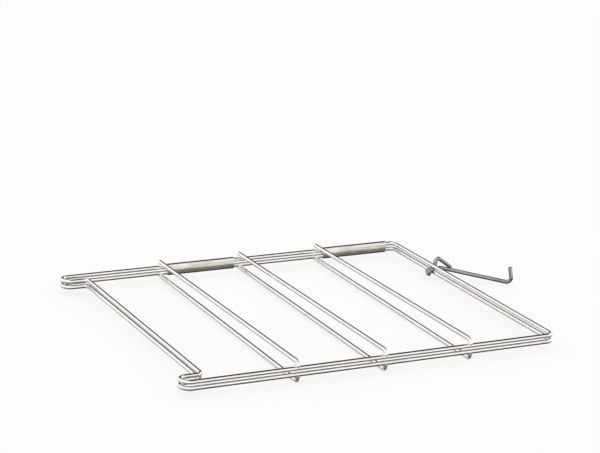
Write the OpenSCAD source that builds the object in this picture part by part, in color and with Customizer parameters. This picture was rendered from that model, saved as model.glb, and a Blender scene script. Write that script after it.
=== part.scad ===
// Fold-down wire drying rack: two matching wire leaves, one lying on the other,
// hinged like a book along their rear rails, with one loose hook on the right end.
// X runs along the rails, Y points to the rear rails, Z stands off the wall.
// The origin is on the wall plane, below the middle of the hinge line.

/* [Wire] */
// Diameter of the wire that everything is bent from
wire_d = 6; // [5:0.5:7]
// Depth that a welded wire sinks into the wire it crosses
weld_sink = 0.3; // [0.1:0.05:0.4]

/* [Leaf] */
// Distance between the centre lines of the two end wires
leaf_w = 508; // [440:1:620]
// Distance between the centre lines of the rear and front rails
leaf_d = 460; // [300:1:560]
// Centre line radius of the two right corners
corner_r = 9; // [7:1:20]
// How far the ears stand out to the left of the end wire
ear_reach = 34; // [30:1:60]
// Distance between the two legs of an ear
ear_gap = 22; // [18:1:30]
// Centre line radius between an ear and the end wire
ear_corner_r = 7; // [6:1:10]

/* [Bars] */
// Distance from the left end wire to the first bar
first_bar = 123.5; // [100:0.5:140]
// Distance from one bar to the next
bar_pitch = 127.5; // [125:0.5:140]
// How far a bar runs past the centre line of the rear rail
bar_tail = 10; // [7:0.5:10]
// Centre line radius of the bend at a bar's front end
bar_bend_r = 5; // [4:0.5:5]
// How much further a bar stands off its frame at the front rail than at the rear one
bar_lift = 3; // [3:0.5:6]

/* [Hinge] */
// Distance between the two leaves' wires
leaf_pitch = 8.4; // [8.2:0.1:11]
// Length of a hinge sleeve
sleeve_len = 107; // [60:1:110]
// Thickness of the sleeve's sheet
sleeve_wall = 1.4; // [0.8:0.1:1.6]
// Radial clearance around the wire that turns in the sleeve
sleeve_clear = 0.1; // [0.05:0.01:0.1]
// Radial grip of the sleeve on the wire that it is crimped to
sleeve_grip = 0.05; // [0.02:0.01:0.1]
// Gap between a sleeve and the bar on its left
sleeve_bar_gap = 4.5; // [0.5:0.1:5]

/* [Hook] */
// Distance from the hinge line to the hook's strand with the tab
hook_y = 121; // [80:0.5:200]
// Distance between the hook's two strands
strand_gap = 6.4; // [6.2:0.1:7.5]
// Thickness of the hook's wire where it is flattened to pass between the leaves
saddle_t = 1.6; // [1.2:0.1:1.6]
// Length of the hook's two legs above their U
leg_len = 0.8; // [0.4:0.1:4]
// Length of the strand between the saddle and the curl
curl_stem = 3.5; // [2:0.5:10]
// Centre line radius of the curl
curl_r = 5; // [4:0.5:7]
// Length of the straight tab
tab_len = 24; // [12:1:30]
// Angle of the tab below level
tab_angle = 37; // [20:1:45]
// Straight wire between the saddle and the arm's turn
arm_stem = 4; // [2:0.5:10]
// Angle that the arm turns towards the front rail
arm_turn = 43; // [10:1:45]
// Angle that the plane of this turn dips by, so that the arm falls a little
arm_dip = 8; // [0:1:8]
// Length of the straight arm
arm_len = 95; // [60:1:97]
// Angle that the tip is bent up by
tip_turn = 106; // [90:1:120]
// Length of the straight tip
tip_len = 14; // [6:1:30]
// Centre line radius of the arm's turn and of the bend below the tip
arm_bend_r = 8; // [6:0.5:10]

/* [Hidden] */
$fn = 48;

chrome = [0.86, 0.86, 0.85];
sleeve_tone = [0.74, 0.73, 0.71];
hook_tone = [0.68, 0.67, 0.66];

wire_r = wire_d / 2;
weld_step = wire_d - weld_sink;
// radius of the ball that seals each joint of a bar's or the hook's wire
joint_r = wire_r + 0.04;
half_w = leaf_w / 2;
lower_z = wire_r + bar_lift + weld_step;
upper_z = lower_z + leaf_pitch;

// A wire path is a list of corners, each [x, y, z, bend radius].
function unit(v) = v / norm(v);
function spot(c) = [c[0], c[1], c[2]];
function half_turn(a, c, b) = (180 - acos(unit(a - c) * unit(b - c))) / 2;
function setback(a, c, b, r) = r * tan(half_turn(a, c, b));

// Sets a child's X, Y and Z along three unit vectors, at one point.
module at_axes(ex, ey, ez, p) {
  multmatrix([[ex[0], ey[0], ez[0], p[0]],
              [ex[1], ey[1], ez[1], p[1]],
              [ex[2], ey[2], ez[2], p[2]]])
    children();
}

// Straight wire between two points.
module rod(a, b) {
  run = b - a;
  translate(a)
    rotate([0, acos(run[2] / norm(run)), atan2(run[1], run[0])])
      cylinder(h = norm(run), r = wire_r);
}

// Wire bent round corner c, coming from a and leaving to b.
module elbow(a, c, b, r) {
  back = unit(a - c);
  ahead = unit(b - c);
  centre = c + unit(back + ahead) * r / cos(half_turn(a, c, b));
  ex = unit(c + back * setback(a, c, b, r) - centre);
  ez = unit(cross(ex, c + ahead * setback(a, c, b, r) - centre));
  at_axes(ex, cross(ez, ex), ez, centre)
    rotate_extrude(angle = 2 * half_turn(a, c, b))
      translate([r, 0])
        circle(r = wire_r);
}

// Wire through every corner of a path; a closed one joins its last to its first.
module bent_wire(path, closed = false) {
  n = len(path);
  at = [for (c = path) spot(c)];
  back = [for (i = [0 : n - 1]) closed || (i > 0 && i < n - 1)
      ? setback(at[(i + n - 1) % n], at[i], at[(i + 1) % n], path[i][3]) : 0];
  for (i = [0 : closed ? n - 1 : n - 2]) {
    j = (i + 1) % n;
    dir = unit(at[j] - at[i]);
    if (norm(at[j] - at[i]) > back[i] + back[j] + 0.01)
      rod(at[i] + dir * back[i], at[j] - dir * back[j]);
  }
  for (i = [0 : n - 1])
    if (back[i] > 0)
      elbow(at[(i + n - 1) % n], at[i], at[(i + 1) % n], path[i][3]);
}

// Straight wire along Z; children carry on from its end.
module run(length) {
  cylinder(h = length, r = wire_r);
  translate([0, 0, length]) children();
}

// Wire bent towards X, once it is rolled about Z; children carry on from its end.
// A ball a hair wider than the wire seals the joint at each end of the bend.
module turn(r, angle, roll = 0) {
  sphere(r = joint_r);
  rotate([0, 0, roll])
    translate([r, 0, 0]) {
      rotate([90, 0, 0])
        mirror([1, 0, 0])
          rotate_extrude(angle = angle)
            translate([r, 0])
              circle(r = wire_r);
      rotate([0, angle, 0])
        translate([-r, 0, 0]) {
          sphere(r = joint_r);
          children();
        }
    }
}

// One leaf's closed outline, with the two ears on its left, at height z.
function leaf_path(z) = [
  [half_w, 0, z, corner_r],
  [half_w, -leaf_d, z, corner_r],
  [-half_w - ear_reach, -leaf_d, z, ear_gap / 2],
  [-half_w - ear_reach, -leaf_d + ear_gap, z, ear_gap / 2],
  [-half_w, -leaf_d + ear_gap, z, ear_corner_r],
  [-half_w, -ear_gap, z, ear_corner_r],
  [-half_w - ear_reach, -ear_gap, z, ear_gap / 2],
  [-half_w - ear_reach, 0, z, ear_gap / 2]];

function bar_x(i) = -half_w + first_bar + i * bar_pitch;

// One bar, drawn from its foot on the front rail to its tail past the rear rail.
// side is 1 for a bar on top of its frame and -1 for one below it.
module bar(i, frame_z, side) {
  tilt = atan(bar_lift / leaf_d);
  bend_y = bar_bend_r * (1 + sin(tilt));
  bend_z = weld_step + (leaf_d - bend_y) * tan(tilt) - bar_bend_r * cos(tilt);
  foot_z = wire_r - weld_sink;
  translate([bar_x(i), -leaf_d, frame_z])
    mirror([0, 0, side < 0 ? 1 : 0])
      translate([0, 0, foot_z])
        rotate([0, 0, 90])
          run(bend_z - foot_z) turn(bar_bend_r, 90 + tilt)
            run((leaf_d + bar_tail - bend_y) / cos(tilt));
}

module lower_frame() {
  color(chrome) bent_wire(leaf_path(lower_z), closed = true);
}

module upper_frame() {
  color(chrome) bent_wire(leaf_path(upper_z), closed = true);
}

module lower_bar(i) {
  color(chrome) bar(i, lower_z, -1);
}

module upper_bar(i) {
  color(chrome) bar(i, upper_z, 1);
}

// Outline of a slot with round ends: two circles joined by their common width.
module slot_2d(r_low, r_high) {
  translate([0, lower_z]) circle(r = r_low);
  translate([0, upper_z]) circle(r = r_high);
  translate([-r_low, lower_z]) square([2 * r_low, leaf_pitch]);
}

// Flat-sided sleeve: it grips the lower rail and lets the upper rail turn.
module hinge_sleeve(x_start) {
  outer_r = wire_r + sleeve_clear + sleeve_wall;
  color(sleeve_tone)
    translate([x_start, 0, 0])
      rotate([90, 0, 90])
        linear_extrude(sleeve_len)
          difference() {
            slot_2d(outer_r, outer_r);
            slot_2d(wire_r - sleeve_grip, wire_r + sleeve_clear);
          }
}

// Flattened wire bent round an end wire at height z, from one angle to another.
module saddle(y, z, from, to) {
  translate([0, y, z])
    rotate([90, 0, 0])
      rotate([0, 0, from])
        rotate_extrude(angle = to - from)
          translate([(leaf_pitch - saddle_t) / 2, -wire_r])
            square([saddle_t, wire_d]);
}

// The hook is one wire: tab, curl, strand, leg, tight U, leg, strand, arm and tip.
// It is drawn round the point midway between the two end wires, at the tab's strand.
module stay_hook() {
  saddle_r = leaf_pitch / 2;
  strand_x = saddle_r - saddle_t / 2 + wire_r;
  tip_roll = atan2(-cos(arm_dip), -cos(arm_turn) * sin(arm_dip));
  color(hook_tone)
    translate([half_w, -hook_y, lower_z + saddle_r]) {
      // the two legs inside the leaf, joined by a tight U
      translate([-strand_x, 0, -saddle_r])
        rotate([180, 0, 0])
          run(leg_len) turn(strand_gap / 2, 180, 90) run(leg_len) sphere(r = joint_r);
      translate([-strand_x, 0, -saddle_r]) sphere(r = joint_r);
      // over the lower wire, up outside the upper one, and round into the tab
      saddle(0, -saddle_r, 90, 180);
      saddle(0, saddle_r, 270, 360);
      translate([strand_x, 0, saddle_r]) {
        sphere(r = joint_r);
        run(curl_stem) turn(curl_r, 90 + tab_angle) run(tab_len);
      }
      // over the lower wire, straight out, and round into the arm and its tip
      saddle(-strand_gap, -saddle_r, 90, 180);
      translate([0, -strand_gap - wire_r, -saddle_t / 2])
        cube([strand_x, wire_d, saddle_t]);
      translate([strand_x, -strand_gap, 0]) {
        sphere(r = joint_r);
        rotate([0, 90, 0])
          run(arm_stem) turn(arm_bend_r, arm_turn, arm_dip - 90) run(arm_len)
            turn(arm_bend_r, tip_turn, tip_roll) run(tip_len);
      }
    }
}

lower_frame();
lower_bar(0);  // lower_bar_1
lower_bar(1);  // lower_bar_2
lower_bar(2);  // lower_bar_3
upper_frame();
upper_bar(0);  // upper_bar_1
upper_bar(1);  // upper_bar_2
upper_bar(2);  // upper_bar_3
hinge_sleeve(bar_x(0) + wire_r + sleeve_bar_gap);  // hinge_sleeve_1
hinge_sleeve(bar_x(2) + wire_r + sleeve_bar_gap);  // hinge_sleeve_2
stay_hook();
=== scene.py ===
"""Fold-down wire drying rack: two wire leaves hinged along their rear rails, and a loose hook.

Every piece is a swept or lofted mesh that stands for one CAD node and rides on its body.
Lengths are metres, in the CAD frame: X along the rails, Y to the rear rails, Z up.
"""

from math import atan2, ceil, cos, exp, pi, radians, sin, sqrt, tan

import bpy
from mathutils import Matrix, Vector, noise


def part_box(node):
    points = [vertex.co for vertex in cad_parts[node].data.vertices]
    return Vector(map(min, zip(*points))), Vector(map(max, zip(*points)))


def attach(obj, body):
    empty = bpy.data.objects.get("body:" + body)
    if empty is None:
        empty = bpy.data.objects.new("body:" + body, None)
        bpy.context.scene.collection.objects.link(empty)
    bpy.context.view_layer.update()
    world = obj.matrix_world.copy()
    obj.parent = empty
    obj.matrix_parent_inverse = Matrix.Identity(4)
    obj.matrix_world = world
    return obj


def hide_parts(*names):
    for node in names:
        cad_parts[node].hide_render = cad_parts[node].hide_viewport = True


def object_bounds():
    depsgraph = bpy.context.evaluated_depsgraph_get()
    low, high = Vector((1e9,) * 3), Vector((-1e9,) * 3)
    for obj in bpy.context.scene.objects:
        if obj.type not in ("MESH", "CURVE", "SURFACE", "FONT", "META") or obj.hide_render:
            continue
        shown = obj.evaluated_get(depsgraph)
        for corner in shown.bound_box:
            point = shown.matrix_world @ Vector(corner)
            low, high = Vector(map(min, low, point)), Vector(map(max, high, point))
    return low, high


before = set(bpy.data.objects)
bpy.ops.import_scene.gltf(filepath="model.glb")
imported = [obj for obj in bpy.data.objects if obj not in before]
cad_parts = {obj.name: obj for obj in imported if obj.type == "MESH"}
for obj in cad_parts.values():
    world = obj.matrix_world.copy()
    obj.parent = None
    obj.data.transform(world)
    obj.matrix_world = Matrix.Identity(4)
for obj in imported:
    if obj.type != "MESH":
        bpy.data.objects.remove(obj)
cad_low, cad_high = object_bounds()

MM = 0.001
UP = Vector((0, 0, 1))


# ---------------------------------------------------------------- sizes from the CAD frame

lower_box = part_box("lower_frame")
upper_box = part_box("upper_frame")
WIRE_R = (upper_box[1].z - upper_box[0].z) / 2
LOWER_Z = (lower_box[0].z + lower_box[1].z) / 2
UPPER_Z = (upper_box[0].z + upper_box[1].z) / 2
HALF_W = upper_box[1].x - WIRE_R
LEAF_D = -(upper_box[0].y + WIRE_R)
EAR_X = upper_box[0].x + WIRE_R

# Bend radii and gaps of the leaves and bars, as part.scad has them.
CORNER_R = 9 * MM
EAR_GAP = 22 * MM
EAR_CORNER_R = 7 * MM
BAR_BEND_R = 5 * MM
WELD_STEP = 5.7 * MM  # from a rear rail's centre line to that of the bar welded on it
BORE_CLEAR = 0.1 * MM  # between a sleeve and the wire that turns in it

# The hook, as part.scad draws it.
STRAND_GAP = 6.4 * MM
SADDLE_T = 1.6 * MM
LEG_LEN = 0.8 * MM
CURL_STEM = 3.5 * MM
CURL_R = 5 * MM
TAB_LEN = 24 * MM
TAB_ANGLE = radians(37)
ARM_STEM = 4 * MM
ARM_TURN = radians(43)
ARM_DIP = radians(8)
ARM_LEN = 95 * MM
TIP_TURN = radians(106)
TIP_LEN = 14 * MM
ARM_BEND_R = 8 * MM


def smooth(x, low, high):
    """0 below low, 1 above high, and an S-curve between them."""
    t = min(1.0, max(0.0, (x - low) / (high - low)))
    return t * t * (3 - 2 * t)


# ---------------------------------------------------------------- node helpers


class Graph:
    """Short calls for building one node tree."""

    def __init__(self, tree):
        self.tree = tree
        tree.nodes.clear()

    def add(self, kind, **values):
        made = self.tree.nodes.new(kind)
        for key, value in values.items():
            setattr(made, key, value)
        return made

    def link(self, source, target):
        self.tree.links.new(source, target)

    def math(self, operation, a, b):
        made = self.add("ShaderNodeMath", operation=operation)
        for socket, value in zip(made.inputs, (a, b)):
            if isinstance(value, (int, float)):
                socket.default_value = value
            else:
                self.link(value, socket)
        return made.outputs[0]

    def remap(self, value, low, high, to_low=0.0, to_high=1.0):
        """Smoothly maps low..high to to_low..to_high."""
        made = self.add("ShaderNodeMapRange", interpolation_type="SMOOTHSTEP")
        self.link(value, made.inputs["Value"])
        for key, number in (("From Min", low), ("From Max", high),
                            ("To Min", to_low), ("To Max", to_high)):
            made.inputs[key].default_value = number
        return made.outputs["Result"]

    def noise(self, where, stretch, detail=3.0, rough=0.5):
        """Noise whose features are 1/stretch metres along each axis."""
        spread = self.add("ShaderNodeMapping")
        spread.inputs["Scale"].default_value = stretch
        self.link(where, spread.inputs["Vector"])
        made = self.add("ShaderNodeTexNoise")
        made.inputs["Scale"].default_value = 1.0
        made.inputs["Detail"].default_value = detail
        made.inputs["Roughness"].default_value = rough
        self.link(spread.outputs[0], made.inputs["Vector"])
        return made.outputs["Fac"]

    def ramp(self, value, stops):
        made = self.add("ShaderNodeValToRGB")
        marks = made.color_ramp.elements
        while len(marks) < len(stops):
            marks.new(0.5)
        for mark, (place, colour) in zip(marks, stops):
            mark.position = place
            mark.color = (*colour, 1)
        self.link(value, made.inputs["Fac"])
        return made.outputs["Color"]

    def bump(self, height, strength, distance):
        made = self.add("ShaderNodeBump")
        made.inputs["Strength"].default_value = strength
        made.inputs["Distance"].default_value = distance
        self.link(height, made.inputs["Height"])
        return made.outputs["Normal"]


def metal(name, dark, light, rough_low, rough_high, grain, grain_depth, dents=0.0):
    """Metal whose colour, roughness and surface vary: grain is fine marks, dents are broad."""
    material = bpy.data.materials.new(name)
    material.use_nodes = True
    graph = Graph(material.node_tree)
    where = graph.add("ShaderNodeTexCoord").outputs["Object"]
    shader = graph.add("ShaderNodeBsdfPrincipled")
    shader.inputs["Metallic"].default_value = 1.0
    shader.inputs["IOR"].default_value = 1.5

    cloud = graph.noise(where, (55, 55, 55), detail=4.0)
    marks = graph.noise(where, grain, detail=5.0, rough=0.65)
    tone = graph.math("ADD", graph.math("MULTIPLY", cloud, 0.6),
                      graph.math("MULTIPLY", marks, 0.4))
    graph.link(graph.ramp(tone, ((0.35, dark), (0.65, light))), shader.inputs["Base Color"])
    graph.link(graph.remap(marks, 0.3, 0.7, rough_low, rough_high), shader.inputs["Roughness"])

    height = marks
    if dents:
        broad = graph.noise(where, (38, 160, 160), detail=1.0)
        height = graph.math("ADD", marks, graph.math("MULTIPLY", broad, dents))
    graph.link(graph.bump(height, 1.0, grain_depth), shader.inputs["Normal"])
    output = graph.add("ShaderNodeOutputMaterial")
    graph.link(shader.outputs[0], output.inputs["Surface"])
    return material


# Colour dark and light, roughness low and high, marks per metre on each axis, depth of the marks.
CHROME = metal("chrome_plated_wire", (0.80, 0.785, 0.76), (0.92, 0.91, 0.90),
               0.03, 0.09, (420, 420, 420), 0.004 * MM)
WELD = metal("plated_weld", (0.62, 0.60, 0.57), (0.86, 0.84, 0.81),
             0.10, 0.24, (900, 900, 900), 0.05 * MM)
BRUSHED = metal("brushed_sleeve_steel", (0.62, 0.58, 0.545), (0.88, 0.86, 0.84),
                0.14, 0.26, (60, 2600, 2600), 0.010 * MM, dents=5.0)
HOOK_STEEL = metal("dull_hook_steel", (0.27, 0.265, 0.26), (0.46, 0.455, 0.45),
                   0.14, 0.28, (700, 700, 700), 0.010 * MM)


# ---------------------------------------------------------------- mesh helpers


def build(name, rings, material, closed=False):
    """Joins rings of points into a smooth tube; an open tube gets a fan at each end."""
    sides = len(rings[0])
    points = [p for ring in rings for p in ring]
    faces = []
    for i in range(len(rings) if closed else len(rings) - 1):
        here, there = i * sides, (i + 1) % len(rings) * sides
        for k in range(sides):
            after = (k + 1) % sides
            faces.append((here + k, here + after, there + after, there + k))
    if not closed:
        for start, order in ((0, -1), ((len(rings) - 1) * sides, 1)):
            middle = sum((points[start + k] for k in range(sides)), Vector()) / sides
            points.append(middle)
            for k in range(sides):
                pair = (start + k, start + (k + 1) % sides)[::order]
                faces.append((*pair, len(points) - 1))
    mesh = bpy.data.meshes.new(name)
    mesh.from_pydata([tuple(p) for p in points], [], faces)
    mesh.validate()
    mesh.polygons.foreach_set("use_smooth", [True] * len(mesh.polygons))
    mesh.materials.append(material)
    mesh.update()
    piece = bpy.data.objects.new(name, mesh)
    bpy.context.scene.collection.objects.link(piece)
    return piece


def rounded(corners, closed, step=5 * MM, arc_step=radians(8)):
    """Points along straights and arcs through (corner, radius) pairs, with 1 where it bends."""
    count = len(corners)
    legs = []
    for i, (corner, radius) in enumerate(corners):
        if not closed and i in (0, count - 1):
            legs.append([(corner, 0.0)])
            continue
        back = (corners[i - 1][0] - corner).normalized()
        ahead = (corners[(i + 1) % count][0] - corner).normalized()
        half = (pi - back.angle(ahead)) / 2
        centre = corner + (back + ahead).normalized() * radius / cos(half)
        start = corner + back * radius * tan(half) - centre
        axis = back.cross(start)
        steps = max(4, ceil(2 * half / arc_step))
        legs.append([(centre + Matrix.Rotation(2 * half * k / steps, 3, axis) @ start,
                      sin(pi * k / steps)) for k in range(steps + 1)])
    path = []
    for i, leg in enumerate(legs):
        path += leg
        if closed or i < count - 1:
            begin, end = leg[-1][0], legs[(i + 1) % count][0][0]
            pieces = int((end - begin).length / step)
            path += [(begin.lerp(end, k / pieces), 0.0) for k in range(1, pieces)]
    tidy = [path[0]]
    for point, bend in path[1:]:
        if (point - tidy[-1][0]).length > 0.05 * MM:
            tidy.append((point, bend))
    return tidy


def tangents(points, closed):
    last = len(points) - 1
    made = []
    for i in range(len(points)):
        before = points[i - 1] if closed or i > 0 else points[0]
        after = points[(i + 1) % len(points)] if closed or i < last else points[last]
        made.append((after - before).normalized())
    return made


def carried(directions, first):
    """A side vector for each direction, carried along without twist."""
    side = (first - directions[0] * first.dot(directions[0])).normalized()
    made = []
    for direction in directions:
        side = (side - direction * side.dot(direction)).normalized()
        made.append(side)
    return made


# Trimmed wire ends: distance from the end and share of the wire's radius.
CUT_END = ((0.00, 0.80), (0.03, 0.84), (0.35, 0.975), (0.60, 1.0), (0.75, 1.0))


def with_cut_ends(path):
    """Turns (point, value) pairs into (point, value, share of radius) with chamfered ends."""
    made = [(point, value, 1.0) for point, value in path]
    for end, inner in ((0, 1), (-1, -2)):
        tip, value = path[end]
        along = (path[inner][0] - tip).normalized()
        extra = [(tip + along * gap * MM, value, share) for gap, share in CUT_END]
        made = extra + made[1:] if end == 0 else made[:-1] + extra[::-1]
    return made


def wire(name, path, material, closed=False, swell=None):
    """Sweeps round wire along (point, bend, share); a bend leaves the wire slightly oval."""
    sides = 28
    points = [p for p, _, _ in path]
    along = tangents(points, closed)
    side = carried(along, UP)
    rings = []
    for (point, bend, share), direction, across in zip(path, along, side):
        other = direction.cross(across)
        reach = WIRE_R * share * (swell(point) if swell else 1.0)
        rings.append([point
                      + across * (reach * (1 + 0.012 * bend) * cos(2 * pi * k / sides))
                      + other * (reach * (1 - 0.030 * bend) * sin(2 * pi * k / sides))
                      for k in range(sides)])
    return build(name, rings, material, closed)


def place(piece, body, slot, *nodes):
    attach(piece, body)
    if nodes:
        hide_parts(*nodes)
    return piece


# ---------------------------------------------------------------- the two leaves


def leaf_outline(z):
    corners = [(HALF_W, 0, CORNER_R), (HALF_W, -LEAF_D, CORNER_R),
               (EAR_X, -LEAF_D, EAR_GAP / 2), (EAR_X, -LEAF_D + EAR_GAP, EAR_GAP / 2),
               (-HALF_W, -LEAF_D + EAR_GAP, EAR_CORNER_R), (-HALF_W, -EAR_GAP, EAR_CORNER_R),
               (EAR_X, -EAR_GAP, EAR_GAP / 2), (EAR_X, 0, EAR_GAP / 2)]
    return [(Vector((x, y, z)), radius) for x, y, radius in corners]


BUTT_WELD_X = -205 * MM


def butt_weld(point):
    """Swell of the ring of upset metal where the wire's two ends are welded, on the rear rail."""
    if point.y < -WIRE_R:
        return 1.0
    gap = (point.x - BUTT_WELD_X) / (1.1 * MM)
    return 1.0 + 0.055 * exp(-gap * gap)


def make_frame(level, z, body):
    path = rounded(leaf_outline(z), closed=True)
    made = []
    for i, (point, bend) in enumerate(path):
        made.append((point, bend, 1.0))
        after = path[(i + 1) % len(path)][0]
        if point.y > -WIRE_R and min(point.x, after.x) < BUTT_WELD_X < max(point.x, after.x):
            # short steps, so that the ring of the weld is round
            steps = 14
            made += [(point.lerp(after, k / steps), 0.0, 1.0) for k in range(1, steps)]
    piece = wire(f"{level}_leaf_wire", made, CHROME, closed=True, swell=butt_weld)
    place(piece, body, "chrome_wire", f"{level}_frame")


def fillet(name, spot, normal, seed):
    """Metal squeezed out round the contact of two crossed wires.

    It flares from the rail's surface, on the -normal side, to the bar's surface.
    """
    steps, sides, overlap = 9, 32, 0.25 * MM
    rings = []
    for i in range(steps + 1):
        u = i / steps
        ring = []
        for k in range(sides):
            angle = 2 * pi * k / sides
            wobble = noise.noise(Vector((cos(angle) * 1.3, sin(angle) * 1.3, seed)))
            flare = (2.15 + 0.35 * wobble) * MM * (0.30 * abs(2 * u - 1) ** 2.2 + 1)
            if i in (0, steps):
                # the end rings are hidden inside the wires
                flare *= 0.72
            along, across = flare * cos(angle), flare * sin(angle)
            low = sqrt(WIRE_R ** 2 - across ** 2) - WIRE_R - overlap
            high = WIRE_R - sqrt(WIRE_R ** 2 - along ** 2) + overlap
            ring.append(spot + Vector((along, across, 0)) + normal * (low + (high - low) * u))
        rings.append(ring)
    return build(name, rings, WELD)


def weld_ring(name, rail, away, seed):
    """The lumpy collar of weld where a bar's foot stands on the rail."""
    sides, rings = 36, []
    # reach along and across the rail; height over the rail's skin, then over its centre
    profile = ((2.2, 2.0, -0.30, 0), (3.5, 2.5, -0.10, 0), (3.45, 2.9, 0, 2.75),
               (3.20, 3.12, 0, 3.15), (2.85, 2.85, 0, 3.40), (2.2, 2.2, 0, 3.40))
    for reach_x, reach_y, over_skin, over_centre in profile:
        ring = []
        for k in range(sides):
            angle = 2 * pi * k / sides
            lump = noise.noise(Vector((cos(angle) * 1.6, sin(angle) * 1.6, seed)))
            swell = 1 + (0.07 * lump if reach_x > 3.1 else 0)
            along, across = reach_x * swell * MM * cos(angle), reach_y * MM * sin(angle)
            skin = sqrt(WIRE_R ** 2 - min(abs(across), 0.9 * WIRE_R) ** 2) + over_skin * MM
            height = max(skin, over_centre * MM) if over_centre else skin
            ring.append(rail + Vector((along, across, 0)) + away * height)
        rings.append(ring)
    return build(name, rings, WELD)


def make_bar(level, number, body):
    node = f"{level}_bar_{number}"
    low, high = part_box(node)
    x = (low.x + high.x) / 2
    away, frame_z = (UP, UPPER_Z) if level == "upper" else (-UP, LOWER_Z)
    outer_z, foot_z = (high.z, low.z) if level == "upper" else (low.z, high.z)
    front = Vector((x, -LEAF_D, outer_z - away.z * WIRE_R))
    over_rail = Vector((x, 0, frame_z + away.z * WELD_STEP))
    tail = over_rail + (over_rail - front) * (high.y / LEAF_D)
    corners = [(tail, 0), (front, BAR_BEND_R), (Vector((x, -LEAF_D, foot_z)), 0)]
    path = with_cut_ends(rounded(corners, closed=False, step=8 * MM))
    piece = wire(f"{level}_cross_bar_{number}", path, CHROME)
    place(piece, body, "chrome_wire", node)

    seed = number * 3.7 + (0 if level == "upper" else 11.0)
    nugget = fillet(f"{level}_weld_{number}_rear", over_rail - away * (WELD_STEP / 2), away, seed)
    place(nugget, body, "chrome_wire")
    toe = weld_ring(f"{level}_weld_{number}_front", Vector((x, -LEAF_D, frame_z)), away, seed + 5.3)
    place(toe, body, "chrome_wire")


for level, z in (("lower", LOWER_Z), ("upper", UPPER_Z)):
    make_frame(level, z, f"{level}_leaf")
    for number in (1, 2, 3):
        make_bar(level, number, f"{level}_leaf")


# ---------------------------------------------------------------- hinge sleeves


def sleeve_outer(angle, half_y, half_z):
    """Outer section of the pressed sleeve: an oval whose two broad sides bulge only a little."""
    c, s = cos(angle), sin(angle)
    return (half_y * abs(c) ** 0.74 * (1 if c >= 0 else -1),
            half_z * abs(s) ** 0.90 * (1 if s >= 0 else -1))


def sleeve_inner(angle, half_gap, bore):
    """Inner section: two round ends round the rails' centre lines, and flat sides."""
    c, s = cos(angle), sin(angle)
    flat_share, end_spread = 0.45, 1.6
    y = bore * (1 if c >= 0 else -1) * min(1.0, abs(c) * end_spread)
    if abs(s) <= flat_share:
        return y, half_gap * s / flat_share
    return y, (half_gap + sqrt(max(0.0, bore ** 2 - y ** 2))) * s / abs(s)


def make_sleeve(number):
    node = f"hinge_sleeve_{number}"
    low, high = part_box(node)
    middle_z = (low.z + high.z) / 2
    half_z, half_y = (high.z - low.z) / 2, (high.y - low.y) / 2
    bore, half_gap = WIRE_R + BORE_CLEAR, (UPPER_Z - LOWER_Z) / 2
    sides, edge_r, mouth = 96, 0.35, 0.15 * MM
    length = (high.x - low.x) / MM

    def outer(x, pull):
        ring = []
        for k in range(sides):
            angle = 2 * pi * k / sides
            y, z = sleeve_outer(angle, half_y - pull, half_z - pull)
            # the sheet is slightly uneven, most on its broad sides
            wave = noise.noise(Vector((x * 55 + number * 9.1, z * 260, 0.4 if y < 0 else 7.7)))
            y -= (0.06 + 0.06 * wave) * MM * cos(angle) ** 2 * (1 if y > 0 else -1)
            # the folded sheet's seam, low on the rear side
            seam = 0.30 * MM * exp(-((angle - radians(322)) / radians(2.2)) ** 2)
            ring.append(Vector((x, y - seam * cos(angle), middle_z + z - seam * sin(angle))))
        return ring

    def inner(x, widen):
        ring = []
        for k in range(sides):
            y, z = sleeve_inner(2 * pi * k / sides, half_gap, bore + widen)
            ring.append(Vector((x, y, middle_z + z)))
        return ring

    # millimetres from the left end: close together at the two rounded edges
    edge = [0.0, 0.06, 0.18, 0.35, 0.6]
    stations = edge + [1.2 + k * 1.6 for k in range(int((length - 2.4) / 1.6) + 1)]
    stations = sorted(set(round(s, 3) for s in stations + [length - gap for gap in edge]))
    rings = []
    for s in stations:
        inset = 1 - min(s, length - s, edge_r) / edge_r
        rings.append(outer(low.x + s * MM, edge_r * MM * (1 - sqrt(max(0.0, 1 - inset ** 2)))))
    rings += [inner(high.x - 0.005 * MM, mouth), inner(low.x + (length - 0.1) * MM, 0.0),
              inner(low.x + 0.1 * MM, 0.0), inner(low.x + 0.005 * MM, mouth)]
    piece = build(f"pressed_sleeve_{number}", rings, BRUSHED, closed=True)
    place(piece, "lower_leaf", "sleeve_metal", node)


for number in (1, 2):
    make_sleeve(number)


# ---------------------------------------------------------------- hook


class Turtle:
    """Draws a wire's centre line: straight runs, and turns towards X after a roll about Z."""

    def __init__(self, start, heading, side):
        self.at = start.copy()
        self.axes = Matrix((side, heading.cross(side), heading)).transposed()
        self.points = [self.at.copy()]

    def run(self, length, step=2.5 * MM):
        pieces = max(1, ceil(length / step))
        for k in range(1, pieces + 1):
            self.points.append(self.at + self.axes.col[2] * (length * k / pieces))
        self.at = self.points[-1].copy()
        return self

    def turn(self, radius, angle, roll=0.0):
        self.axes = self.axes @ Matrix.Rotation(roll, 3, "Z")
        side, heading = self.axes.col[0].copy(), self.axes.col[2].copy()
        centre = self.at + side * radius
        pieces = max(4, ceil(angle / radians(8)))
        for k in range(1, pieces + 1):
            a = angle * k / pieces
            self.points.append(centre - side * (radius * cos(a)) + heading * (radius * sin(a)))
        self.at = self.points[-1].copy()
        self.axes = self.axes @ Matrix.Rotation(angle, 3, "Y")
        return self


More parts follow.
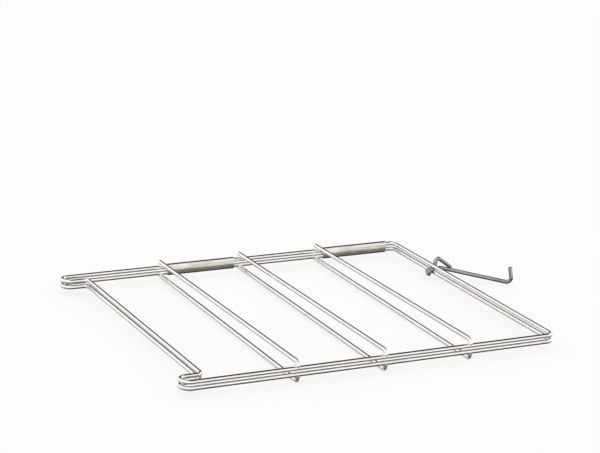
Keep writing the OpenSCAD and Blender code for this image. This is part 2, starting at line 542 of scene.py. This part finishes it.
def make_hook():
    low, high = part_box("stay_hook")
    saddle_r = (UPPER_Z - LOWER_Z) / 2
    home = Vector((HALF_W, high.y - WIRE_R, (UPPER_Z + LOWER_Z) / 2))
    flat = SADDLE_T / 2
    inner = saddle_r - flat
    strand_x = inner + WIRE_R

    def arc(y, z, angles):
        """Round an end wire: the strand thins as it goes in between the two leaves."""
        made = []
        for degrees in angles:
            from_side = (360 if degrees >= 270 else 180) - degrees
            half = WIRE_R + (flat - WIRE_R) * smooth(from_side, 2, 40)
            reach, a = inner + half, radians(degrees)
            made.append((Vector((reach * cos(a), y, z + reach * sin(a))), half))
        return made

    tab = Turtle(Vector((strand_x, 0, saddle_r)), UP, Vector((1, 0, 0)))
    tab.run(CURL_STEM).turn(CURL_R, pi / 2 + TAB_ANGLE).run(TAB_LEN)
    path = [(p, WIRE_R) for p in reversed(tab.points)]
    path += arc(0, saddle_r, range(354, 269, -6))
    path += arc(0, -saddle_r, range(96, 181, 6))
    loop = Turtle(Vector((-strand_x, 0, -saddle_r)), -UP, Vector((1, 0, 0)))
    loop.run(LEG_LEN).turn(STRAND_GAP / 2, pi, pi / 2).run(LEG_LEN)
    path += [(p, WIRE_R) for p in loop.points[1:]]
    path += arc(-STRAND_GAP, -saddle_r, range(174, 89, -6))
    for k in range(1, 11):
        x = strand_x * k / 10
        half = WIRE_R + (flat - WIRE_R) * (1 - smooth(x / MM, 2.6, 6.4))
        path.append((Vector((x, -STRAND_GAP, 0)), half))
    tip_roll = atan2(-cos(ARM_DIP), -cos(ARM_TURN) * sin(ARM_DIP))
    arm = Turtle(Vector((strand_x, -STRAND_GAP, 0)), Vector((1, 0, 0)), -UP)
    arm.run(ARM_STEM).turn(ARM_BEND_R, ARM_TURN, ARM_DIP - pi / 2).run(ARM_LEN)
    arm.turn(ARM_BEND_R, TIP_TURN, tip_roll).run(TIP_LEN)
    path += [(p, WIRE_R) for p in arm.points[1:]]

    path = with_cut_ends([(home + p, half) for p, half in path])
    along = tangents([point for point, _, _ in path], closed=False)
    side = carried(along, Vector((0, 1, 0)))
    sides = 32
    rings = []
    for (point, half, share), direction, across in zip(path, along, side):
        other = direction.cross(across)
        flatness = 1 - half / WIRE_R
        thin = direction.cross(Vector((0, 1, 0))).normalized()
        ring = []
        for k in range(sides):
            a = 2 * pi * k / sides
            offset = (across * cos(a) + other * sin(a)) * (WIRE_R * share)
            if flatness > 0.001:
                # flattened wire has two flat faces and full edges
                depth = offset.dot(thin) / WIRE_R
                width = offset - thin * offset.dot(thin)
                level = depth * (1 - flatness) + flatness * max(-1, min(1, depth * 2.6))
                offset = width * (1 + 0.03 * flatness) + thin * (level * half)
            ring.append(point + offset)
        rings.append(ring)
    piece = build("bent_stay_hook", rings, HOOK_STEEL)
    place(piece, "hook", "hook_wire", "stay_hook")


make_hook()


# ---------------------------------------------------------------- floor, light and camera


def make_floor():
    half, drop = 9.0, cad_low.z - 0.1 * MM
    mesh = bpy.data.meshes.new("floor")
    corners = [(-half, -half), (half, -half), (half, half), (-half, half)]
    mesh.from_pydata([(x, y, drop) for x, y in corners], [], [(0, 1, 2, 3)])
    floor = bpy.data.objects.new("floor", mesh)
    bpy.context.scene.collection.objects.link(floor)
    material = bpy.data.materials.new("pale_floor")
    material.use_nodes = True
    graph = Graph(material.node_tree)
    where = graph.add("ShaderNodeTexCoord").outputs["Object"]
    cloud = graph.noise(where, (3, 3, 3))
    tone = graph.ramp(cloud, ((0.3, (0.975, 0.975, 0.975)), (0.7, (0.985, 0.985, 0.985))))
    shader = graph.add("ShaderNodeBsdfDiffuse")
    graph.link(tone, shader.inputs["Color"])
    # a backlit white table: most of its light comes from below, so shadows stay faint
    glow = graph.add("ShaderNodeEmission")
    graph.link(tone, glow.inputs["Color"])
    mix = graph.add("ShaderNodeMixShader")
    glow_share = 0.75
    mix.inputs["Fac"].default_value = glow_share
    graph.link(shader.outputs[0], mix.inputs[1])
    graph.link(glow.outputs[0], mix.inputs[2])
    output = graph.add("ShaderNodeOutputMaterial")
    graph.link(mix.outputs[0], output.inputs["Surface"])
    mesh.materials.append(material)
    floor.visible_glossy = False


def make_studio():
    """A white tent: polished metal sees its bright walls, a dark flag and the dimmer table."""
    world = bpy.data.worlds.new("studio")
    bpy.context.scene.world = world
    world.use_nodes = True
    graph = Graph(world.node_tree)
    direction = graph.add("ShaderNodeTexCoord").outputs["Generated"]
    split = graph.add("ShaderNodeSeparateXYZ")
    graph.link(direction, split.inputs[0])
    x, y, z = split.outputs

    # the tent's walls and roof, and the table: dim in front of the rack, less so behind it
    table_edge = (-0.34, -0.22)
    walls = graph.remap(z, *table_edge, 0.0, 1.10)
    table = graph.remap(y, -0.30, 0.55, 0.22, 0.52)
    table = graph.math("MULTIPLY", table, graph.remap(z, *table_edge, 1.0, 0.0))
    bright = graph.math("ADD", walls, table)
    # the flag hides a band of the tent on the right, all but in front of the rack
    flag_strength = 0.95
    flag = graph.math("MULTIPLY", graph.remap(x, -0.04, 0.09),
                      graph.remap(x, 0.57, 0.67, 1.0, 0.0))
    flag = graph.math("MULTIPLY", flag, graph.remap(y, -0.50, -0.34))
    flag = graph.math("MULTIPLY", flag, flag_strength)
    seen = graph.math("MULTIPLY", bright, graph.math("SUBTRACT", 1.0, flag))

    warm, cool = (1.0, 0.93, 0.86), (1.0, 0.995, 0.98)
    tint = graph.ramp(graph.remap(z, -0.6, 0.1), ((0.0, warm), (1.0, cool)))
    studio = graph.add("ShaderNodeBackground")
    graph.link(tint, studio.inputs["Color"])
    graph.link(seen, studio.inputs["Strength"])
    plain = graph.add("ShaderNodeBackground")
    plain.inputs["Color"].default_value = (1.0, 1.0, 1.0, 1.0)
    plain.inputs["Strength"].default_value = 1.0
    mix = graph.add("ShaderNodeMixShader")
    graph.link(graph.add("ShaderNodeLightPath").outputs["Is Glossy Ray"], mix.inputs["Fac"])
    graph.link(plain.outputs[0], mix.inputs[1])
    graph.link(studio.outputs[0], mix.inputs[2])
    graph.link(mix.outputs[0], graph.add("ShaderNodeOutputWorld").inputs["Surface"])


def make_camera():
    """The photograph's view, fitted to the straight wires."""
    azimuth, elevation, roll = radians(26.28), radians(16.08), radians(2.11)
    target, distance = Vector((0.1620, 0.1390, 0.0160)), 3.357
    view = Vector((sin(azimuth) * cos(elevation), cos(azimuth) * cos(elevation), -sin(elevation)))
    right = Vector((cos(azimuth), -sin(azimuth), 0))
    up = right.cross(view)
    level = right * cos(roll) + up * sin(roll)
    upright = up * cos(roll) - right * sin(roll)
    data = bpy.data.cameras.new("camera")
    data.sensor_width = 36.0
    data.lens = 127.3
    data.clip_end = 50.0
    camera = bpy.data.objects.new("camera", data)
    axes = Matrix((level, upright, -view)).transposed().to_4x4()
    shift = 0.8 * MM  # of the camera, left and up
    place_at = target - view * distance + (upright - level) * shift
    camera.matrix_world = Matrix.Translation(place_at) @ axes
    bpy.context.scene.collection.objects.link(camera)
    bpy.context.scene.camera = camera


make_floor()
make_studio()
make_camera()
bpy.context.scene.view_settings.view_transform = "Standard"
